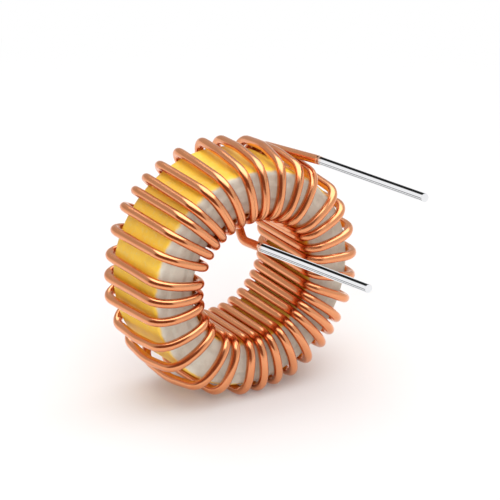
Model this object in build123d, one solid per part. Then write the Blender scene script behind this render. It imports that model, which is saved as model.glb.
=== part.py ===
from build123d import *
import os
from math import cos, radians, sin, tan

# Toroidal choke: a coated ring of pressed iron powder, wound with one enamelled copper wire.
# The ring's axis lies along Y, its white face looks toward -Y, and Z points up.
# The coil stands on its rim, as in use on a bench: Z = 0 is the floor under its two lowest turns.
# Lengths are millimetres, angles are degrees about the ring's axis, from +X toward +Z.

# Ring
ring_outer_radius = 12.7 / 2
ring_inner_radius = 7.7 / 2
ring_height = 4.83
ring_edge_radius = 0.35
white_coat_thickness = 0.08
white_coat_margin = 0.3

# Wire: 0.45 mm copper, enamelled along the coil, stripped and tinned along both leads
enamel_radius = 0.26
tin_radius = 0.25
wire_clearance = 0.02

# Stiff wire arches over each face: it stands off a little at the rim and more at the bore.
rim_corner_lift = 0.15
bore_corner_lift = 0.3

# Where the wire's centre line runs: outside the rim, inside the bore, and beside both faces
rim_run_radius = ring_outer_radius + enamel_radius + wire_clearance
bore_run_radius = ring_inner_radius - enamel_radius - wire_clearance
rim_corner_y = ring_height / 2 + enamel_radius + rim_corner_lift
bore_corner_y = ring_height / 2 + enamel_radius + bore_corner_lift
rim_bend_radius = 0.75
bore_bend_radius = 0.85

# Each turn's angle where it comes over the rim and where it enters the bore, at the front face,
# in winding order. The spacing is as uneven as hand winding leaves it.
rim_angles = [
    64.5, 76.5, 88, 97.5, 109, 118.5, 128.5, 135.5, 145, 156, 169.5, 179, 189.5, 202.5, 217, 235,
    248, 262.5, 272, 282, 292, 302, 312.5, 320, 327, 338, 350.5, 362.5, 375.5, 388.5, 398.5, 415,
]
bore_angles = [
    63.5, 74, 85, 95, 106, 116.5, 126.5, 135, 144.5, 155, 170, 180.5, 190, 205.5, 217.5, 237,
    247.5, 261.5, 272, 282.5, 293.5, 304.5, 315, 324.5, 333.5, 343, 354, 367.5, 378, 391, 400, 413,
]
turn_count = len(rim_angles)

# A turn gains this angle through the bore, and this one over the rim, apart from the turns
# listed by their place in the winding order. The first ones make room for the inner lead.
bore_slant = 3.0
bore_slants = {0: 7.5, 1: 5.6, 2: 3.5, 31: -1.7}
rim_slant = 0.5
rim_slants = {
    0: 3.0, 1: 8.8, 2: 5.7, 3: 4.7, 4: 2.5, 6: 1.6, 9: -0.6, 10: 0, 11: -1.2, 12: -1.5, 13: -4.1, 14: -2.5, 31: 3.5,
}

# How far each listed turn stands off the rim at its back corner, middle and front corner.
# The first turns and two at the lower left are the loosest. Turn 17 stands off just enough
# to reach as low as turn 18, so that the coil stands on both.
rim_slacks = {
    0: (0.1, 0.3, 0.1), 1: (0.1, 0.45, 0.1), 2: (0.05, 0.3, 0.1), 3: (0.15, 0.25, 0), 4: (0.15, 0.15, 0),
    5: (0.15, 0.1, 0), 6: (0.14, 0.1, 0), 7: (0.15, 0.1, 0), 8: (0.2, 0.1, 0), 9: (0.1, 0.1, 0),
    12: (0.1, 0.1, 0), 14: (0.1, 0.4, 0.1), 15: (0.4, 0.7, 0.15), 16: (0, 0.1, 0.12),
    17: (0.045, 0.0585, 0.04),
    20: (0, 0.1, 0.15), 21: (0, 0.1, 0.15), 22: (0, 0.1, 0.12), 30: (0.1, 0.3, 0.1), 31: (0.1, 0.3, 0.1),
}
loose_bend_radius = 6.0

# Inner lead: it leaves the first turn at the back of the bore and comes out through it.
inner_lead_bore_angle = 59.8
first_rim_angle = rim_angles[0] - rim_slants[0]
inner_lead_bend = 1.8
inner_lead_bend_radius = 0.8
inner_tin_start = Vector(0.18, -2.86, 2.01)
inner_lead_tip = Vector(0.43, -13.02, 2.98)

# Outer lead: it leaves the last turn at the back of the rim and runs forward over it.
outer_lead_rim_angle = 56.8
outer_lead_rim_radius = 6.75
outer_lead_bend = 0.2
outer_lead_bend_radius = 5.0
outer_tin_start = Vector(4.06, -2.86, 6.36)
outer_lead_tip = Vector(4.03, -13.02, 7.45)


def on_ring(angle, radius, y):
    """A point given by its angle and radius about the ring's axis, and its place along that axis."""
    return Vector(radius * cos(radians(angle)), y, radius * sin(radians(angle)))


def make_core():
    """The ring, with rounded edges; its front is set back by the white coat's thickness."""
    depth = ring_height - white_coat_thickness
    outer = Cylinder(ring_outer_radius, depth)
    inner = Cylinder(ring_inner_radius, depth)
    ring = fillet((outer - inner).edges().filter_by(GeomType.CIRCLE), ring_edge_radius)
    return Pos(0, white_coat_thickness / 2, 0) * Rot(90, 0, 0) * ring


def make_face_coat():
    """The white coat: a thin flat washer that stops short of the ring's rounded edges."""
    margin = ring_edge_radius + white_coat_margin
    outer = Cylinder(ring_outer_radius - margin, white_coat_thickness)
    inner = Cylinder(ring_inner_radius + margin, white_coat_thickness)
    front = -ring_height / 2 + white_coat_thickness / 2
    return Pos(0, front, 0) * Rot(90, 0, 0) * (outer - inner)


def wire_route():
    """Corner points of the wire from one tin start to the other, and the bend radius at each."""
    lead_direction = (inner_tin_start - inner_lead_tip).normalized()
    points = [inner_tin_start, inner_tin_start + lead_direction * inner_lead_bend]
    bends = [inner_lead_bend_radius]
    points.append(on_ring(inner_lead_bore_angle, bore_run_radius, bore_corner_y))
    bends.append(bore_bend_radius)
    back_rim_angle = first_rim_angle
    for turn in range(turn_count):
        rim_angle = rim_angles[turn]
        bore_angle = bore_angles[turn]
        slacks = rim_slacks.get(turn, (0, 0, 0))
        points.append(on_ring(back_rim_angle, rim_run_radius + slacks[0], rim_corner_y))
        bends.append(rim_bend_radius)
        if turn in rim_slacks:
            middle = (back_rim_angle + rim_angle) / 2
            points.append(on_ring(middle, rim_run_radius + slacks[1], 0))
            bends.append(loose_bend_radius)
        points.append(on_ring(rim_angle, rim_run_radius + slacks[2], -rim_corner_y))
        bends.append(rim_bend_radius)
        points.append(on_ring(bore_angle, bore_run_radius, -bore_corner_y))
        bends.append(bore_bend_radius)
        points.append(on_ring(bore_angle + bore_slants.get(turn, bore_slant), bore_run_radius, bore_corner_y))
        bends.append(bore_bend_radius)
        if turn + 1 < turn_count:
            back_rim_angle = rim_angles[turn + 1] - rim_slants.get(turn + 1, rim_slant)
    points.append(on_ring(outer_lead_rim_angle, outer_lead_rim_radius, rim_corner_y))
    bends.append(rim_bend_radius)
    lead_direction = (outer_tin_start - outer_lead_tip).normalized()
    points.append(outer_tin_start + lead_direction * outer_lead_bend)
    bends.append(outer_lead_bend_radius)
    points.append(outer_tin_start)
    return points, bends


def round_wire(points, bends, radius):
    """A wire's skin, sewn from a cylinder for each run and a piece of a torus for each bend."""
    direction = (points[1] - points[0]).normalized()
    section = (Plane(points[0], z_dir=direction) * Circle(radius)).face()
    skin = [section]
    place = points[0]
    length = 0.0
    for corner, after, bend in zip(points[1:], points[2:] + [None], bends + [0.0]):
        turn_angle = 0.0
        if after is not None:
            next_direction = (after - corner).normalized()
            turn_angle = direction.get_angle(next_direction)
        run = (corner - place).length - bend * tan(radians(turn_angle / 2))
        skin += extrude(section, run, direction).faces().filter_by(GeomType.CYLINDER)
        section = Pos(direction * run) * section
        place += direction * run
        length += run
        if after is None:
            break
        axis_direction = direction.cross(next_direction).normalized()
        centre = place + axis_direction.cross(direction) * bend
        axis = Axis(centre, axis_direction)
        skin += revolve(section, axis, turn_angle).faces().filter_by(GeomType.TORUS)
        section = section.rotate(axis, turn_angle)
        place = corner + next_direction * bend * tan(radians(turn_angle / 2))
        length += bend * radians(turn_angle)
        direction = next_direction
    skin.append(section)
    return Solid(Shell(skin)), length


def make_winding():
    """The enamelled wire, from where one lead's tin ends to where the other's does."""
    points, bends = wire_route()
    wire, length = round_wire(points, bends, enamel_radius)
    section_area = Circle(enamel_radius).area
    print("wire length", round(length, 2), "volume", round(wire.volume, 3))
    print("section times length", round(section_area * length, 3))
    return wire


def make_lead(start, tip):
    """A tinned end of the wire: a straight rod with a flat cut end, butted to the enamelled wire."""
    return extrude(Plane(start, z_dir=tip - start) * Circle(tin_radius), (tip - start).length)


def main():
    os.makedirs("parts", exist_ok=True)
    winding = make_winding()
    parts = {
        "core": make_core(),
        "face_coat": make_face_coat(),
        "winding": winding,
        "inner_lead_tin": make_lead(inner_tin_start, inner_lead_tip),
        "outer_lead_tin": make_lead(outer_tin_start, outer_lead_tip),
    }
    axis_height = -winding.bounding_box().min.Z
    print("axis height", round(axis_height, 4))
    for name, shape in parts.items():
        export_step(Pos(0, 0, axis_height) * shape, f"parts/{name}.step")


main()
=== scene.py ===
# %% [markdown]
# # A hand-wound toroidal choke
#
# The object is a ring of pressed iron powder, coated yellow with a white front face, and one
# enamelled copper wire that passes through the ring 32 times. Both ends of the wire are stripped,
# tinned and bent forward as leads.
#
# The packed CAD model is the fixed frame. It gives the ring's radius and the height of its axis,
# and each of its nodes is shown here by a finer surface that stays inside the same box.

import bpy
import numpy as np
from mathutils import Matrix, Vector


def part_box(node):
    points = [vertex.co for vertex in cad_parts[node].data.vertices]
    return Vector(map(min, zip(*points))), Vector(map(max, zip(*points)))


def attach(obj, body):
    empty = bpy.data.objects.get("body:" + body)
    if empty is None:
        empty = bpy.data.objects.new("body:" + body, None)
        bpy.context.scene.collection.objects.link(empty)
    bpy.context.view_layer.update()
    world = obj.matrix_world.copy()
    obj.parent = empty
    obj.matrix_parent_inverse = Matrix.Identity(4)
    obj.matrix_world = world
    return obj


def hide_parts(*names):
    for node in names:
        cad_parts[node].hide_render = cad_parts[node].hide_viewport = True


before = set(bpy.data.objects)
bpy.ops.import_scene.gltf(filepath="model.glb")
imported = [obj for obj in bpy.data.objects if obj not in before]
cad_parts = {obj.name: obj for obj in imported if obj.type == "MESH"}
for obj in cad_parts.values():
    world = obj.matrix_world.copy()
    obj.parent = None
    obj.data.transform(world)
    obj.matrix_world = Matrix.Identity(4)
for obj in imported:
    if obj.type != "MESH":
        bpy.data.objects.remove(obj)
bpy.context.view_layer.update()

METRES_PER_MM = 0.001


print("frame nodes:", ", ".join(sorted(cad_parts)))

# %% [markdown]
# ## Sizes
#
# The modelling is done in millimetres about the ring's centre, with the ring's axis along Y and
# the white face toward -Y, because a coil is easiest to think of that way. One function then
# moves every mesh up to the frame's floor and turns it into metres.
#
# The ring hangs in its winding, which stands on the floor. So the axis height is read from the
# frame: it is the middle of the core's box.

# %% Ring and wire sizes
core_low, core_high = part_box("core")
coat_low, coat_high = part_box("face_coat")
axis_height = (core_low.z + core_high.z) / 2 / METRES_PER_MM
ring_outer_radius = (core_high.z - core_low.z) / 2 / METRES_PER_MM
coat_outer_radius = (coat_high.z - coat_low.z) / 2 / METRES_PER_MM

ring_inner_radius = 7.7 / 2
ring_height = 4.83
ring_edge_radius = 0.35
white_coat_thickness = 0.08
enamel_radius = 0.26
tin_radius = 0.25
wire_clearance = 0.02
print("axis height", round(axis_height, 4), "ring radius", round(ring_outer_radius, 4))

# %% [markdown]
# ## One way to make a mesh
#
# Every piece here is a grid of points: rows follow one parameter of the surface, and columns
# follow the other. A ring's grid closes on itself both ways. A tube's grid closes round the tube,
# and one pole point shuts each end. So two small functions make all the faces.
#
# Adding primitives and joining them would also work, but a formula keeps the shape and its
# numbers in one place, and the whole array is worked out at once.

# %% Faces of a grid
def grid_faces(rows, columns, close_rows):
    """Quads between neighbouring points of a rows by columns grid, whose columns always wrap
    round. With close_rows the last row joins the first, as on a ring."""
    row = np.arange(rows if close_rows else rows - 1)[:, None]
    column = np.arange(columns)[None, :]
    next_row = (row + 1) % rows
    next_column = (column + 1) % columns
    corners = [row * columns + column, row * columns + next_column,
               next_row * columns + next_column, next_row * columns + column]
    return np.stack(np.broadcast_arrays(*corners), axis=-1).reshape(-1, 4)


def fan_faces(first, columns, pole, reverse):
    """Triangles from one row of points, which starts at index first, to one pole point."""
    column = np.arange(columns)
    edge = np.stack([first + column, first + (column + 1) % columns], axis=-1)
    if reverse:
        edge = edge[:, ::-1]
    return np.column_stack([edge, np.full(columns, pole)])


print("a 3 by 4 closed grid has", len(grid_faces(3, 4, True)), "faces")

# %% From arrays to an object
def to_frame(points):
    """Points in mm about the ring's centre, as places in metres above the frame's floor."""
    return ((points + [0, 0, axis_height]) * METRES_PER_MM).tolist()


def make_object(name, places, faces):
    """An object at the origin, from places in metres and faces as lists of their indices."""
    mesh = bpy.data.meshes.new(name)
    mesh.from_pydata(places, [], faces)
    made = bpy.data.objects.new(name, mesh)
    bpy.context.collection.objects.link(made)
    return made


def add_attribute(mesh, name, values):
    """One number for each point of a mesh, which a material can read by this name."""
    layer = mesh.attributes.new(name, "FLOAT", "POINT")
    layer.data.foreach_set("value", values.astype(np.float32))


def make_piece(name, points, face_groups, node, slot, attributes=None):
    """One shown piece, which rides on the root body and stands for the CAD node."""
    faces = [face for group in face_groups for face in group.tolist()]
    piece = make_object(name, to_frame(points), faces)
    piece.data.shade_smooth()
    for key, values in (attributes or {}).items():
        add_attribute(piece.data, key, values)
    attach(piece, "root")
    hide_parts(node)
    print(name, "has", len(points), "points and", len(faces), "faces")
    return piece


print("the ring's centre lies at", to_frame(np.zeros(3)), "m")

# %% [markdown]
# ## The wire's route
#
# The real coil is wound by hand: the wire goes over the rim from back to front, down the white
# face, back through the bore, and up the back to the next turn. Its spacing is uneven, and a few
# turns stand off the rim. So the route is a list of corners, turn by turn, and each corner is
# rounded by an arc. The angles are those of the CAD part, apart from a few loose turns that are
# set a little closer to the photograph.
#
# A spline through the corners would sag between them and swing past them. Arcs between straight
# runs are what stiff wire does, and a light smoothing then takes the hard start off every bend.

# %% Listed turns
# Angles are in degrees about the ring's axis, from +X toward +Z, at the front face.
rim_angles = np.array([
    64.5, 76.5, 88, 97.5, 109, 118.5, 128.5, 135.5, 145, 156, 169.5, 179, 189.5, 203.5, 217, 235,
    248, 262.5, 272, 282, 292, 302, 312.5, 320, 327, 338, 350.5, 362.5, 375.5, 388.5, 398.5, 415,
])
bore_angles = np.array([
    63.5, 74, 85, 95, 106, 116.5, 126.5, 135, 144.5, 155, 170, 180.5, 190, 205.5, 217.5, 237,
    247.5, 261.5, 272, 282.5, 293.5, 304.5, 315, 324.5, 333.5, 343, 354, 367.5, 378, 391, 400, 413,
])
turn_count = len(rim_angles)


def by_turn(usual, exceptions):
    """An array with the usual value for every turn, apart from the turns listed by number."""
    values = np.full(turn_count, usual, dtype=float)
    values[list(exceptions)] = list(exceptions.values())
    return values


# How many degrees each turn gains through the bore, and how many over the rim
bore_slants = by_turn(3.0, {0: 7.5, 1: 5.6, 2: 3.5, 31: -1.7})
rim_slants = by_turn(0.5, {
    0: 3.0, 1: 8.8, 2: 5.7, 3: 4.7, 4: 2.5, 6: 1.6, 9: -0.6, 10: 0, 11: -1.2, 12: -1.5, 13: -3.1,
    14: -2.5, 16: 2.2, 31: 3.5,
})
print(turn_count, "turns, which slant over the rim by up to", rim_slants.max(), "degrees")

# %% Loose turns
# How far each turn stands off the rim, in mm: at its back corner, its middle and its front corner
back_slacks = by_turn(0, {
    0: 0.1, 1: 0.1, 2: 0.05, 3: 0.15, 4: 0.15, 5: 0.15, 6: 0.14, 7: 0.15, 8: 0.2, 9: 0.1, 12: 0.1,
    13: 0.05, 14: 0.08, 15: 0.3, 17: 0.045, 30: 0.1, 31: 0.1,
})
middle_slacks = by_turn(0, {
    0: 0.3, 1: 0.45, 2: 0.3, 3: 0.25, 4: 0.15, 5: 0.1, 6: 0.1, 7: 0.1, 8: 0.1, 9: 0.1, 12: 0.1,
    13: 0.3, 14: 0.48, 15: 0.55, 16: 0.1, 17: 0.0585, 20: 0.1, 21: 0.1, 22: 0.1, 30: 0.3, 31: 0.3,
})
front_slacks = by_turn(0, {
    0: 0.1, 1: 0.1, 2: 0.1, 13: 0.2, 14: 0.22, 15: 0.12, 16: 0.12, 17: 0.04, 20: 0.15, 21: 0.15,
    22: 0.12, 30: 0.1, 31: 0.1,
})
print("the loosest turn stands", middle_slacks.max(), "mm off the rim")

# %% Runs and bends
rim_run_radius = ring_outer_radius + enamel_radius + wire_clearance
bore_run_radius = ring_inner_radius - enamel_radius - wire_clearance
rim_corner_lift, bore_corner_lift, face_arch = 0.15, 0.3, 0.2
rim_corner_y = ring_height / 2 + enamel_radius + rim_corner_lift
bore_corner_y = ring_height / 2 + enamel_radius + bore_corner_lift

rim_bend_radius, front_bend_radius, bore_bend_radius = 0.8, 1.15, 0.98
loose_bend_radius, face_bend_radius = 6.0, 3.0
print("the wire runs at radius", round(rim_run_radius, 3), "and", round(bore_run_radius, 3), "mm")

# %% [markdown]
# ### Soft bends round a hard edge
#
# The front bends are softer than the ring's edge, and a soft bend cuts its corner, so it could
# sink into the coat. Seen along the rim, the bend and the edge are two circles. The wire passes
# the edge if their centres lie no further apart than the bend's radius less the edge's radius
# and the wire's.
#
# A turn that stands off the rim has some of that room, and most turns can stand off a little.
# The lowest ones can't, because the coil rests on them, and neither can those at its two sides,
# which already reach the frame's box. The topmost are held to the same rule. Where a turn stands
# closer, its corner moves forward instead, as far as Pythagoras asks.

# %% Front corners
box_reach = 6.886  # from the ring's axis to the nearest sides of the frame's box, in mm
most_outward = 0.05
edge_clearance = 0.005

sideways = np.abs(np.cos(np.radians(rim_angles)))
upright = np.abs(np.sin(np.radians(rim_angles)))
free_outward = box_reach / np.maximum(sideways, upright) - enamel_radius - rim_run_radius
front_slacks = np.maximum(front_slacks, np.clip(free_outward, 0, most_outward))

edge_centre_radius = ring_outer_radius - ring_edge_radius
edge_centre_y = ring_height / 2 - ring_edge_radius
centre_distance = front_bend_radius - ring_edge_radius - enamel_radius - edge_clearance
centre_inward = front_bend_radius - (rim_run_radius + front_slacks - edge_centre_radius)
centre_behind = np.sqrt(centre_distance ** 2 - centre_inward ** 2)
front_corner_y = edge_centre_y + front_bend_radius - centre_behind
print("front corners lie", front_corner_y.min().round(3), "to", front_corner_y.max().round(3), "mm forward")

# %% Places on the ring and on the leads
inner_tin_start, inner_lead_tip = np.array([0.18, -2.86, 2.01]), np.array([0.43, -13.02, 2.98])
outer_tin_start, outer_lead_tip = np.array([4.06, -2.86, 6.36]), np.array([4.03, -13.02, 7.45])


def on_ring(angle, radius, y):
    """Points about the ring's axis: radius * cos angle toward +X, radius * sin angle toward +Z,
    and y along the axis."""
    turn, radius, y = np.broadcast_arrays(np.radians(angle), radius, y)
    return np.stack([radius * np.cos(turn), y, radius * np.sin(turn)], axis=-1)


def behind_tin(start, tip, distance):
    """The point that lies in line with a lead, a distance behind the start of its tin."""
    return start + (start - tip) / np.linalg.norm(start - tip) * distance


print("inner tin is", round(np.linalg.norm(inner_lead_tip - inner_tin_start), 2), "mm long")
print("outer tin is", round(np.linalg.norm(outer_lead_tip - outer_tin_start), 2), "mm long")

# %% Corners of the route
back_rim_angles = rim_angles - rim_slants
face_angles = (rim_angles + bore_angles) / 2
face_radius = (rim_run_radius + bore_run_radius) / 2
turn_corners = np.stack([
    on_ring(back_rim_angles, rim_run_radius + back_slacks, rim_corner_y),
    on_ring((back_rim_angles + rim_angles) / 2, rim_run_radius + middle_slacks, 0),
    on_ring(rim_angles, rim_run_radius + front_slacks, -front_corner_y),
    on_ring(face_angles, face_radius, -bore_corner_y - face_arch),
    on_ring(bore_angles, bore_run_radius, -bore_corner_y),
    on_ring(bore_angles + bore_slants, bore_run_radius, bore_corner_y),
], axis=1)
turn_bends = [rim_bend_radius, loose_bend_radius, front_bend_radius,
              face_bend_radius, bore_bend_radius, bore_bend_radius]

# The inner lead comes out of the bore's back, and the outer one off the back of the rim.
inner_bore_angle, inner_run, inner_bend_radius = 59.8, 1.8, 0.8
outer_rim_angle, outer_rim_radius, outer_run, outer_bend_radius = 56.8, 6.75, 0.2, 5.0
route = np.vstack([
    inner_tin_start,
    behind_tin(inner_tin_start, inner_lead_tip, inner_run),
    on_ring(inner_bore_angle, bore_run_radius, bore_corner_y),
    turn_corners.reshape(-1, 3),
    on_ring(outer_rim_angle, outer_rim_radius, rim_corner_y),
    behind_tin(outer_tin_start, outer_lead_tip, outer_run),
    outer_tin_start,
])
bends = np.array([inner_bend_radius, bore_bend_radius, *turn_bends * turn_count,
                  rim_bend_radius, outer_bend_radius])
print(len(route), "corners in the route")

# %% Arcs between the runs
def round_corners(corners, radii, steps):
    """Each inner corner is replaced by a circular arc of the given radius. The arc is a rational
    quadratic curve from tangent point to tangent point, and the corner weighs the cosine of half
    the turn, which makes the curve an exact circle."""
    before, corner, after = corners[:-2], corners[1:-1], corners[2:]
    arriving = before - corner
    leaving = after - corner
    arriving /= np.linalg.norm(arriving, axis=1, keepdims=True)
    leaving /= np.linalg.norm(leaving, axis=1, keepdims=True)
    half_turn = (np.pi - np.arccos(np.clip(np.sum(arriving * leaving, axis=1), -1, 1))) / 2
    tangent = (radii * np.tan(half_turn))[:, None]
    first = (corner + arriving * tangent)[:, None]
    last = (corner + leaving * tangent)[:, None]
    t = np.linspace(0, 1, steps)[None, :, None]
    corner_weight = 2 * np.cos(half_turn)[:, None, None] * t * (1 - t)
    weighed = (1 - t) ** 2 * first + t ** 2 * last + corner_weight * corner[:, None]
    arcs = weighed / ((1 - t) ** 2 + t ** 2 + corner_weight)
    return np.vstack([corners[:1], arcs.reshape(-1, 3), corners[-1:]])


arc_steps = 24
rounded_route = round_corners(route, bends, arc_steps)
print(len(rounded_route), "points on the rounded route")

# %% Even steps and smoothing
def even_steps(line, step):
    """The same line with its points about one step apart, and how far along it each lies. Every
    coordinate is interpolated over the length run so far."""
    run = np.concatenate([[0], np.cumsum(np.linalg.norm(np.diff(line, axis=0), axis=1))])
    places = np.linspace(0, run[-1], int(round(run[-1] / step)) + 1)
    return np.stack([np.interp(places, run, line[:, k]) for k in range(3)], axis=-1), places


def soften(line, width, step):
    """A Gaussian average along the line. Both ends are continued by their mirror images through
    the end points, so that they stay where they are and keep their direction."""
    reach = int(4 * width / step)
    kernel = np.exp(-0.5 * (np.arange(-reach, reach + 1) * step / width) ** 2)
    kernel /= kernel.sum()
    head = 2 * line[0] - line[reach:0:-1]
    tail = 2 * line[-1] - line[-2:-reach - 2:-1]
    padded = np.vstack([head, line, tail])
    return np.stack([np.convolve(padded[:, k], kernel, mode="valid") for k in range(3)], axis=-1)


wire_step, softening_width = 0.125, 0.22
wire_line, wire_places = even_steps(rounded_route, wire_step)
wire_line = soften(wire_line, softening_width, wire_step)
print("wire length", round(wire_places[-1], 1), "mm in", len(wire_line), "points")

# %% [markdown]
# ## The wire's skin
#
# A tube is a circle carried along the line. The circle needs a direction to start from at every
# point. Around a coil there is a good one for free: the direction away from the middle of the
# ring's section, because the wire goes round that. Taking it everywhere needs no running sum,
# and the tube never twists.

# %% A tube along a line
def square_to(direction, along):
    """Each direction less its part along the line, at unit length."""
    square = direction - along * np.sum(direction * along, axis=1, keepdims=True)
    return square / np.linalg.norm(square, axis=1, keepdims=True)


def tube(line, outward, radii, sides):
    """Points of a tube: line + radius * (cos a * outward + sin a * across), where outward is first
    made square to the line and across is square to both. A pole point closes each end."""
    along = np.gradient(line, axis=0)
    along /= np.linalg.norm(along, axis=1, keepdims=True)
    outward = square_to(outward, along)
    across = np.cross(along, outward)
    angle = np.linspace(0, 2 * np.pi, sides, endpoint=False)[None, :, None]
    circle = np.cos(angle) * outward[:, None] + np.sin(angle) * across[:, None]
    skin = line[:, None] + circle * radii[:, None, None]
    points = np.vstack([skin.reshape(-1, 3), line[:1], line[-1:]])
    last_ring = (len(line) - 1) * sides
    faces = [
        grid_faces(len(line), sides, False),
        fan_faces(0, sides, len(points) - 2, reverse=True),
        fan_faces(last_ring, sides, len(points) - 1, reverse=False),
    ]
    return points, faces


wire_sides = 20
flat_depth = enamel_radius * (1 - np.cos(np.pi / wire_sides))
print("the flats of", wire_sides, "sides lie", round(flat_depth, 4), "mm inside the true circle")

# %% The winding
middle_radius = (ring_outer_radius + ring_inner_radius) / 2
from_axis = wire_line * [1, 0, 1]
section_middle = from_axis / np.linalg.norm(from_axis, axis=1, keepdims=True) * middle_radius

enamel_start = 0.4  # from the tin, in mm, to where the enamel has its full thickness
skin_trim = 0.001   # keeps the tube inside the frame's box
tin_distance = np.minimum(wire_places, wire_places[-1] - wire_places)
wire_radii = np.interp(tin_distance, [0, enamel_start], [tin_radius, enamel_radius - skin_trim])

wire_points, wire_faces = tube(wire_line, wire_line - section_middle, wire_radii, wire_sides)
wire_attributes = {"tin_distance": np.concatenate([np.repeat(tin_distance, wire_sides), [0, 0]])}
winding = make_piece("wound_wire", wire_points, wire_faces, "winding", "enamelled_copper", wire_attributes)

# %% [markdown]
# ## The tinned leads
#
# Each lead is the same wire with its enamel off, dipped in solder. It is straight, bright and cut
# off square by side cutters, which leaves a hair's breadth of rounding at the rim of the cut.
#
# A tube makes it too. The rings near the cut are close together: they round the rim of the cut
# and then run inward over the end, which so stays flat under smooth shading. Each ring lies a
# trace further along than the one before, because the tube takes its direction from them.

# %% Two rods
rod_sides, body_rings, cut_length = 48, 60, 0.05
# Where the rings of the cut lie, in mm from the tip, and how much smaller than the rod each is
cut_places = np.array([0.03, 0.015, 0.006, 0.001, 0.0006, 0.0005, 0.0003, 0])
cut_insets = np.array([0, 0.001, 0.006, 0.015, 0.025, 0.03, 0.1, 0.2])


def make_rod(name, start, tip, node):
    """A straight rod of the tin's radius with a square cut at its tip."""
    length = np.linalg.norm(tip - start)
    places = np.concatenate([np.linspace(0, length - cut_length, body_rings), length - cut_places])
    radii = np.concatenate([np.full(body_rings, tin_radius), tin_radius - cut_insets])
    line = start + places[:, None] * (tip - start) / length
    upward = np.tile([0.0, 0.0, 1.0], (len(line), 1))
    points, faces = tube(line, upward, radii, rod_sides)
    attributes = {"tin_place": np.concatenate([np.repeat(places, rod_sides), [0, length]])}
    return make_piece(name, points, faces, node, "tinned_wire", attributes)


inner_lead = make_rod("inner_lead", inner_tin_start, inner_lead_tip, "inner_lead_tin")
outer_lead = make_rod("outer_lead", outer_tin_start, outer_lead_tip, "outer_lead_tin")

# %% [markdown]
# ## The ring
#
# The core is pressed, tumbled and dip coated, so its section is a rectangle with soft corners.
# A profile turned about the axis gives it, and a rounded rectangle is a small rectangle grown by
# the corner radius. A lathe modifier on a curve would do the same with less say over the points.

# %% The core
ring_segments, edge_steps, profile_step = 240, 9, 0.25


def ring_surface(profile_radius, profile_y):
    """Points of a closed profile (radius, y) turned about the Y axis, one row for each angle."""
    angle = np.linspace(0, 360, ring_segments, endpoint=False)[:, None]
    points = on_ring(angle, profile_radius[None, :], profile_y[None, :]).reshape(-1, 3)
    return points, [grid_faces(ring_segments, len(profile_radius), True)]


def rounded_rectangle(low, high, corner):
    """Profile through four quarter circles, one about each corner of the rectangle that is left
    when the corner radius is taken off every side. The flat sides get points too."""
    left, bottom = np.add(low, corner)
    right, top = np.subtract(high, corner)
    quarter = np.linspace(0, np.pi / 2, edge_steps)
    angle = (quarter + np.arange(4)[:, None] * np.pi / 2).ravel()
    x = np.repeat([right, left, left, right], edge_steps) + corner * np.cos(angle)
    y = np.repeat([top, top, bottom, bottom], edge_steps) + corner * np.sin(angle)
    x, y = np.append(x, x[0]), np.append(y, y[0])
    run = np.concatenate([[0], np.cumsum(np.hypot(np.diff(x), np.diff(y)))])
    filled = np.union1d(run, np.arange(0, run[-1], profile_step))[:-1]
    return np.interp(filled, run, x), np.interp(filled, run, y)


front_y = -ring_height / 2 + white_coat_thickness
core_low_corner, core_high_corner = (ring_inner_radius, front_y), (ring_outer_radius, ring_height / 2)
core_profile = rounded_rectangle(core_low_corner, core_high_corner, ring_edge_radius)
core = make_piece("ring_core", *ring_surface(*core_profile), "core", "yellow_coat")

# %% [markdown]
# ## The white coat
#
# The white paint on the front face is a thin washer that ends short of both edges. Paint has no
# step at its border: it thins out over a fraction of a millimetre. So the washer's front rises
# from the ring's front, at both of its borders, along the smooth curve 3 t t - 2 t t t.

# %% A washer with feathered borders
feather_width, border_share = 0.3, 0.02
points_across = 60

coat_inner_radius = ring_inner_radius + ring_outer_radius - coat_outer_radius
coat_radius = np.linspace(coat_inner_radius, coat_outer_radius, points_across)
from_border = np.minimum(coat_radius - coat_inner_radius, coat_outer_radius - coat_radius)
rise = np.clip(from_border / feather_width, 0, 1)
thickness_share = border_share + (1 - border_share) * (3 * rise ** 2 - 2 * rise ** 3)
coat_front = front_y - white_coat_thickness * thickness_share
coat_back = np.full(points_across, front_y)
coat_points, coat_faces = ring_surface(
    np.concatenate([coat_radius, coat_radius[::-1]]), np.concatenate([coat_front, coat_back]))
face_coat = make_piece("white_face_coat", coat_points, coat_faces, "face_coat", "white_coat")

# %% [markdown]
# ## Shader maths as Python
#
# The paint, the dust on it and the worn ends of the enamel are all small sums of masks. Building
# those from nodes by hand takes many lines that hide the sum. So one class wraps a socket and
# gives it the usual operators, and an expression such as 1 - mask adds the Math nodes by itself.
# A second class holds the node tree and makes every other node in one way. The patterns and
# colours that this object needs are then small functions on top.

# %% Sockets with operators
class Term:
    """A node's output socket as a number in an expression."""

    def __init__(self, graph, socket):
        self.graph, self.socket = graph, socket

    def __add__(self, other):
        return self.graph.math("ADD", self, other)

    def __sub__(self, other):
        return self.graph.math("SUBTRACT", self, other)

    def __rsub__(self, other):
        return self.graph.math("SUBTRACT", other, self)

    def __mul__(self, other):
        return self.graph.math("MULTIPLY", self, other)

    __radd__, __rmul__ = __add__, __mul__


print("reflected operators:", ", ".join(name for name in vars(Term) if name.startswith("__r")))

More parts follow.
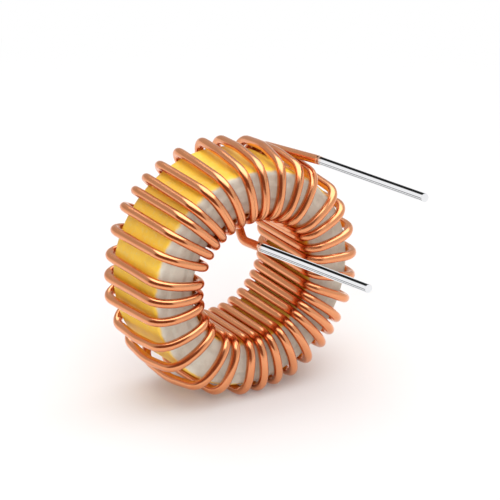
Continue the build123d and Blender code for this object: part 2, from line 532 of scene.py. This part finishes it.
# %% A node tree
class Graph:
    """The node tree of a material or of the world."""

    def __init__(self, owner, output_kind="ShaderNodeOutputMaterial"):
        owner.use_nodes = True
        self.owner, self.tree = owner, owner.node_tree
        self.tree.nodes.clear()
        self.output = self.node(output_kind)

    def node(self, kind, settings=None, inputs=None):
        """A new node: its settings first, then the values or links of its sockets."""
        node = self.tree.nodes.new(kind)
        for key, value in (settings or {}).items():
            setattr(node, key, value)
        for key, value in (inputs or {}).items():
            if isinstance(value, Term):
                self.tree.links.new(value.socket, node.inputs[key])
            else:
                node.inputs[key].default_value = value
        return node

    def term(self, kind, settings=None, inputs=None, output=0):
        """One output of a new node."""
        return Term(self, self.node(kind, settings, inputs).outputs[output])

    def math(self, operation, a, b=0.0):
        """The result of one Math node."""
        return self.term("ShaderNodeMath", {"operation": operation}, {0: a, 1: b})

    def show(self, shader):
        """Makes the shader the surface, and gives back the finished material or world."""
        self.tree.links.new(shader.socket, self.output.inputs["Surface"])
        return self.owner

    def surface(self, **sockets):
        """The finished material, with a Principled shader that has these sockets."""
        inputs = {key.replace("_", " "): value for key, value in sockets.items()}
        return self.show(self.term("ShaderNodeBsdfPrincipled", None, inputs))


def material_graph(name):
    """The empty node tree of a new material."""
    return Graph(bpy.data.materials.new(name))


print("a node tree gives:", ", ".join(name for name in vars(Graph) if not name.startswith("_")))

# %% Places and patterns
def object_place(graph):
    """Where a point lies in its own object, in metres."""
    return graph.term("ShaderNodeTexCoord", output="Object")


def coordinates(graph):
    """Object coordinates in mm about the ring's centre, as three numbers."""
    parts = graph.node("ShaderNodeSeparateXYZ", None, {0: object_place(graph)})
    x, y, z = (Term(graph, output) * (1 / METRES_PER_MM) for output in parts.outputs)
    return x, y, z - axis_height


def attribute(graph, name):
    """The number that each point of the mesh carries under this name."""
    return graph.term("ShaderNodeAttribute", {"attribute_name": name}, output="Fac")


def noise(graph, size, detail=2.0):
    """Soft noise about 0.5, whose lumps are about size mm wide."""
    inputs = {"Vector": object_place(graph), "Scale": 1 / (size * METRES_PER_MM), "Detail": detail}
    return graph.term("ShaderNodeTexNoise", None, inputs)


def step(value, low, high):
    """0 where the value is below low, 1 above high, and a smooth rise between them."""
    inputs = {"Value": value, "From Min": low, "From Max": high}
    return value.graph.term("ShaderNodeMapRange", {"interpolation_type": "SMOOTHSTEP"}, inputs)


def strip(value, low, high, soft):
    """1 between low and high, and 0 outside, with an edge of the given softness."""
    begun = step(value, low - soft, low + soft)
    ended = step(value, high - soft, high + soft)
    return begun * (1.0 - ended)


def patches(graph, size, detail, low, high):
    """Patches about size mm wide: they begin where the noise is low and are full at high."""
    return step(noise(graph, size, detail), low, high)


print("a lump of 1 mm has noise scale", 1 / METRES_PER_MM)

# %% Colours and shaders
def srgb(red, green, blue):
    """A colour as seen on screen, 0 to 255, turned into the linear values that shaders use."""
    value = np.array([red, green, blue]) / 255
    linear = np.where(value <= 0.04045, value / 12.92, ((value + 0.055) / 1.055) ** 2.4)
    return (*(float(v) for v in linear), 1.0)


def blend(factor, a, b):
    """Colour a where the factor is 0 and colour b where it is 1."""
    return factor.graph.term("ShaderNodeMix", {"data_type": "RGBA"}, {0: factor, 6: a, 7: b}, 2)


def bump(height, depth):
    """A normal from a height between 0 and 1, for relief that is depth mm deep."""
    inputs = {"Height": height, "Distance": depth * METRES_PER_MM}
    return height.graph.term("ShaderNodeBump", None, inputs)


def glow(graph, colour):
    """An emission shader at plain strength, so that the colour shows as it is written."""
    return graph.term("ShaderNodeEmission", None, {"Color": colour, "Strength": 1.0})


def mix(factor, a, b):
    """Shader a where the factor is 0 and shader b where it is 1."""
    return factor.graph.term("ShaderNodeMixShader", None, {0: factor, 1: a, 2: b})


WHITE, BLACK = srgb(255, 255, 255), srgb(0, 0, 0)
print("white as a linear colour:", WHITE)

# %% [markdown]
# ## Enamelled copper
#
# Magnet wire is bright drawn copper under a thin clear varnish. It is metal first: its colour
# comes from what it reflects, and where two turns face each other the light bounces between them
# and deepens to red. The varnish adds a thin gloss on top. A little roughness stands for the fine
# draw marks, which keep the metal satin rather than a mirror. A plain orange gloss paint would
# show none of the deep red gaps.

# %% Copper
COPPER_LIGHT, COPPER_DEEP, TIN = srgb(238, 165, 117), srgb(226, 145, 97), srgb(238, 238, 240)
COPPER_ROUGHNESS = 0.2
VARNISH_WEIGHT, VARNISH_ROUGHNESS = 0.15, 0.15
enamel_begins, enamel_full = 0.1, 0.25  # mm from the tin, less what the ragged border adds
chip_size, chip_reach = 0.25, 0.35
tone_size = 1.5


def copper_material():
    """Copper under varnish. Beside the tinned leads the enamel ends raggedly and tin shows."""
    graph = material_graph("enamelled_copper")
    ragged_distance = noise(graph, chip_size) * chip_reach + attribute(graph, "tin_distance")
    enamelled = step(ragged_distance, enamel_begins, enamel_full)
    copper = blend(noise(graph, tone_size), COPPER_DEEP, COPPER_LIGHT)
    return graph.surface(
        Base_Color=blend(enamelled, TIN, copper),
        Metallic=1.0,
        Roughness=COPPER_ROUGHNESS,
        Coat_Weight=enamelled * VARNISH_WEIGHT,
        Coat_Roughness=VARNISH_ROUGHNESS,
    )


winding.data.materials.append(copper_material())
print("copper on", winding.name)

# %% [markdown]
# ## Dipped tin
#
# A freshly tinned wire is close to a mirror and needs very little roughness. So its look comes
# less from its own colour than from what stands round it, which the light tents of the studio
# see to. Over the first half millimetre copper still shows through.

# %% Tin
TIN_ROUGHNESS = 0.06
tin_begins, tin_full = 0.1, 0.65  # mm from the enamel, less what the ragged border adds
drip_size, drip_reach = 0.3, 0.3


def tin_material():
    """Bright tin, which thins out to copper at the end next to the enamel."""
    graph = material_graph("dipped_tin")
    ragged_place = noise(graph, drip_size) * drip_reach + attribute(graph, "tin_place")
    tinned = step(ragged_place, tin_begins, tin_full)
    return graph.surface(
        Base_Color=blend(tinned, COPPER_LIGHT, TIN),
        Metallic=1.0,
        Roughness=TIN_ROUGHNESS,
    )


tin = tin_material()
inner_lead.data.materials.append(tin)
outer_lead.data.materials.append(tin)
print("tin on", inner_lead.name, "and", outer_lead.name)

# %% [markdown]
# ## Yellow and white coat
#
# Iron powder rings are dipped in yellow epoxy, and one face is then painted white. The white ends
# near both edges of the face in a soft, slightly ragged border. The core and its white washer
# share one mask, worked out from the distance to the rim or the bore, so the border runs on
# across both. Mottling and dust then keep either colour from looking like plastic.

# %% Paint
YELLOW, YELLOW_DULL, YELLOW_DUSTY = srgb(254, 210, 62), srgb(240, 194, 66), srgb(236, 216, 140)
WHITE_PAINT, WHITE_DULL = srgb(219, 217, 203), srgb(194, 189, 172)
YELLOW_ROUGHNESS, WHITE_ROUGHNESS = 0.45, 0.7

white_begins, white_full = 0.02, 0.17  # mm from the rim or the bore, whichever is nearer
wander_size, wander_width = 0.6, 0.24  # of the ragged border, in mm
front_begins, front_full = 1.9, 2.2    # mm forward of the ring's middle
grain_size, grain_depth = 0.15, 0.01   # mm
fine = 3.0                             # the detail of a noise with fine edges


def white_mask(graph):
    """1 on the white paint: it rises with the distance from the nearer edge of the ring, on the
    front side only."""
    x, y, z = coordinates(graph)
    radius = graph.math("SQRT", x * x + z * z)
    from_edge = graph.math("MINIMUM", ring_outer_radius - radius, radius - ring_inner_radius)
    wander = noise(graph, wander_size, fine) * wander_width - wander_width / 2
    on_front = step(0.0 - y, front_begins, front_full)
    return step(from_edge + wander, white_begins, white_full) * on_front


def paint_material(name):
    """Yellow epoxy with white paint on the front face, both mottled and dusty."""
    graph = material_graph(name)
    white = white_mask(graph)
    mottle = patches(graph, size=1.1, detail=fine, low=0.45, high=0.7)
    dust = patches(graph, size=0.25, detail=2.0, low=0.5, high=0.75)
    mottled_yellow = blend(mottle * 0.6, YELLOW, YELLOW_DULL)
    yellow_paint = blend(dust * 0.35, mottled_yellow, YELLOW_DUSTY)
    white_paint = blend(mottle * 0.5 + dust * 0.3, WHITE_PAINT, WHITE_DULL)
    return graph.surface(
        Base_Color=blend(white, yellow_paint, white_paint),
        Roughness=white * (WHITE_ROUGHNESS - YELLOW_ROUGHNESS) + YELLOW_ROUGHNESS,
        Normal=bump(noise(graph, grain_size, fine), grain_depth),
    )


core.data.materials.append(paint_material("yellow_coat"))
face_coat.data.materials.append(paint_material("white_coat"))
print("paint on", core.name, "and", face_coat.name)

# %% [markdown]
# ## The studio
#
# The coil stands on a pale floor in a white room. Near the coil the floor is matt paint that
# takes its shadow, and further out it fades to a white that only the camera and the reflections
# see. Turning the lamps up until the floor is white would burn out the coil as well.

# %% Floor and backdrop
FLOOR = srgb(238, 234, 233)
floor_reach = 3.0                 # metres
fade_begins, fade_ends = 14, 60   # mm from the coil
white_near, white_far = 0.1, 1.0  # share of the backdrop's white on the floor


def seen(graph):
    """1 for a ray from the camera, or one that is reflected or let through, and 0 for the light
    that falls on things."""
    path = graph.node("ShaderNodeLightPath")
    kinds = ("Is Camera Ray", "Is Glossy Ray", "Is Transmission Ray")
    camera_ray, glossy_ray, clear_ray = (Term(graph, path.outputs[kind]) for kind in kinds)
    return graph.math("MAXIMUM", graph.math("MAXIMUM", camera_ray, glossy_ray), clear_ray)


def floor_material():
    """Matt paint near the coil, which fades to the white of the backdrop further out."""
    graph = material_graph("pale_floor")
    x, y, z = coordinates(graph)
    away = step(graph.math("SQRT", x * x + y * y), fade_begins, fade_ends)
    white_share = away * (white_far - white_near) + white_near
    paint = graph.term("ShaderNodeBsdfDiffuse", None, {"Color": FLOOR})
    return graph.show(mix(white_share * seen(graph), paint, glow(graph, WHITE)))


def stage_sheet(name, corners, material):
    """A flat sheet through four corners, in metres. It isn't part of the object."""
    sheet = make_object(name, [tuple(corner) for corner in corners], [(0, 1, 2, 3)])
    sheet.data.materials.append(material)
    return sheet


corner_signs = ((-1, -1), (1, -1), (1, 1), (-1, 1))
floor_corners = [(x * floor_reach, y * floor_reach, 0) for x, y in corner_signs]
stage_sheet("floor", floor_corners, floor_material())
print("floor", 2 * floor_reach, "m wide")

# %% The room
ROOM_WHITE = (0.8, 0.8, 0.8, 1.0)
ROOM_LIGHT = 0.28


def make_world():
    """Walls at their own colour where the camera or a reflection looks, and a soft even light,
    much weaker than that, for everything else."""
    graph = Graph(bpy.data.worlds.new("white_room"), "ShaderNodeOutputWorld")
    strength = seen(graph) * (1.0 - ROOM_LIGHT) + ROOM_LIGHT
    walls = graph.term("ShaderNodeBackground", None, {"Color": ROOM_WHITE, "Strength": strength})
    return graph.show(walls)


bpy.context.scene.world = make_world()
print("the room lights with strength", ROOM_LIGHT)

# %% [markdown]
# ## Lamps
#
# One large soft box hangs over the coil, a little behind it, and draws the broad highlight along
# the top of every wire. A smaller one fills the white face from the front left. The metal doesn't
# show that one, because a second highlight on each wire isn't there in the photograph. Both are
# set so that a colour renders about as it is written.

# %% Soft boxes
aim = Vector((0, 0, axis_height * METRES_PER_MM))


def direction(azimuth, elevation):
    """A unit vector. Azimuth 0 points toward the viewer's side, -Y, and 90 toward +X."""
    turn, rise = np.radians([azimuth, elevation])
    return Vector((np.sin(turn) * np.cos(rise), -np.cos(turn) * np.cos(rise), np.sin(rise)))


def soft_box(name, azimuth, elevation, distance, side, radiance, in_reflections):
    """A square lamp that looks at the coil, in metres. Its power follows from how bright its face
    is: power = radiance * pi * area."""
    lamp = bpy.data.lights.new(name, "AREA")
    lamp.shape, lamp.size = "SQUARE", side
    lamp.energy = radiance * np.pi * side ** 2
    box = bpy.data.objects.new(name, lamp)
    bpy.context.collection.objects.link(box)
    box.location = aim + direction(azimuth, elevation) * distance
    box.rotation_euler = (-direction(azimuth, elevation)).to_track_quat("-Z", "Y").to_euler()
    box.visible_camera = False
    box.visible_glossy = in_reflections
    print(name, "lights the coil with", round(radiance * (side / distance) ** 2, 2))


soft_box("top_box", azimuth=130, elevation=83, distance=0.35, side=0.56, radiance=2.05, in_reflections=True)
soft_box("front_box", azimuth=-35, elevation=22, distance=0.4, side=0.4, radiance=2.3, in_reflections=False)

# %% [markdown]
# ## Cards for the copper
#
# Metal in an all white room looks white and flat. The copper in the photograph has dark brown
# sides, as if something dark stood on the viewer's side. Two brown cards do that here, and a grey
# one far behind the coil keeps the backs of the wires from glowing. They show only in reflections
# and cast no shadow, so the paint and the floor don't change.

# %% Dark cards
GREY_CARD, BROWN_CARD = (0.58, 0.56, 0.54, 1.0), (0.22, 0.1, 0.06, 1.0)


def show_only_in_reflections(prop):
    """Takes a studio prop out of the view, the shadows and the light on matt surfaces."""
    prop.visible_camera = False
    prop.visible_diffuse = False
    prop.visible_shadow = False


def dark_card(name, azimuths, elevations, distance, colour):
    """An upright sheet that covers these azimuths and elevations, as seen from the coil, at a
    distance in metres."""
    left, right = azimuths
    low, high = elevations
    seen_at = ((left, low), (right, low), (right, high), (left, high))
    corners = [aim + direction(*angles) * distance for angles in seen_at]
    graph = material_graph(name)
    show_only_in_reflections(stage_sheet(name, corners, graph.show(glow(graph, colour))))


near, far, viewer_elevations = 0.05, 0.8, (-7, 42)
dark_card("back_card", (120, 240), (2, 33), far, GREY_CARD)
dark_card("left_card", (-115, -60), viewer_elevations, near, BROWN_CARD)
dark_card("front_left_card", (-60, -8), viewer_elevations, near, BROWN_CARD)
print("a grey card behind the coil and two brown ones on the viewer's side")

# %% [markdown]
# ## Light tents for the leads
#
# Bright tin is as white, grey or black as what stands round it. So a photographer puts a tent of
# white paper round such a part and tapes dark strips inside it, which become the crisp lines that
# make the metal look round.
#
# Here a narrow tube of paper stands round each lead, open at both ends. Only reflections see it,
# and only from its inside, so the copper turns behind it don't show its outer side.

# %% Tent paper
# Strips along the tent, in degrees round the lead from straight above it
BLACK_STRIP, BLACK_SOFTNESS, BLACK_DARKNESS = (-31, 36), 3, 0.985
GREY_STRIPS, GREY_SOFTNESS, GREY_DARKNESS = ((-144, -127), (-108, -93)), 1.5, 0.8


def tent_paper():
    """White paper with dark strips, placed by the attribute turn. Its outer side is clear."""
    graph = material_graph("tent_paper")
    turn = attribute(graph, "turn")
    black = strip(turn, *BLACK_STRIP, BLACK_SOFTNESS)
    lower_grey, upper_grey = (strip(turn, *edges, GREY_SOFTNESS) for edges in GREY_STRIPS)
    darkness = black * BLACK_DARKNESS + (lower_grey + upper_grey) * GREY_DARKNESS
    paper = mix(darkness, glow(graph, WHITE), glow(graph, BLACK))
    outside = graph.term("ShaderNodeNewGeometry", output="Backfacing")
    return graph.show(mix(outside, paper, graph.term("ShaderNodeBsdfTransparent")))


paper = tent_paper()
print("tent paper with a black strip", BLACK_STRIP[1] - BLACK_STRIP[0], "degrees wide above the lead")

# %% Two tents
tent_radius, tent_behind, tent_ahead = 0.62, 0.5, 0.6  # mm
tent_turns = np.linspace(-180, 180, 181)


def light_tent(name, start, tip):
    """An open tube round a lead. Its points are place on the axis + radius * (sin turn * sideways
    + cos turn * upward), so that turn 0 is above the lead. It keeps its seam, where the turn
    jumps from 180 to -180."""
    axis = (tip - start) / np.linalg.norm(tip - start)
    upward = square_to(np.array([[0.0, 0.0, 1.0]]), axis[None, :])[0]
    sideways = np.cross(upward, axis)
    turn = np.radians(tent_turns)[:, None]
    around = np.sin(turn) * sideways + np.cos(turn) * upward
    ends = np.array([start - axis * tent_behind, tip + axis * tent_ahead])
    points = (ends[:, None] + tent_radius * around).reshape(-1, 3)
    column = np.arange(len(tent_turns) - 1)
    next_row = column + len(tent_turns)
    faces = np.stack([column, column + 1, next_row + 1, next_row], axis=-1)
    tent = make_object(name, to_frame(points), faces.tolist())
    add_attribute(tent.data, "turn", np.tile(tent_turns, 2))
    tent.data.materials.append(paper)
    show_only_in_reflections(tent)
    print(name, "faces inward:", tent.data.polygons[0].normal.dot(Vector(around[0])) < 0)


light_tent("inner_lead_tent", inner_tin_start, inner_lead_tip)
light_tent("outer_lead_tent", outer_tin_start, outer_lead_tip)

# %% [markdown]
# ## The camera
#
# The photograph looks down on the coil from its front left with a long lens. So the camera stands
# a quarter of a metre away, and it looks a little to the right of the ring's centre and above it,
# because both leads end on that side.

# %% Camera
camera_lens, sensor_width = 326.2, 36.0       # mm
camera_distance = 0.254                       # metres from the point it looks at
right_of_centre, above_centre = 1.302, 0.654  # mm, where that point lies
toward_camera = Vector((-0.505, -0.779, 0.3715)).normalized()

camera_data = bpy.data.cameras.new("camera")
camera_data.lens, camera_data.sensor_width = camera_lens, sensor_width
camera = bpy.data.objects.new("camera", camera_data)
bpy.context.collection.objects.link(camera)
target = Vector((right_of_centre, 0, above_centre + axis_height)) * METRES_PER_MM
camera.location = target + toward_camera * camera_distance
camera.rotation_euler = (-toward_camera).to_track_quat("-Z", "Y").to_euler()
bpy.context.scene.camera = camera
bpy.context.scene.view_settings.view_transform = "Standard"
print("camera at", [round(v, 4) for v in camera.location])
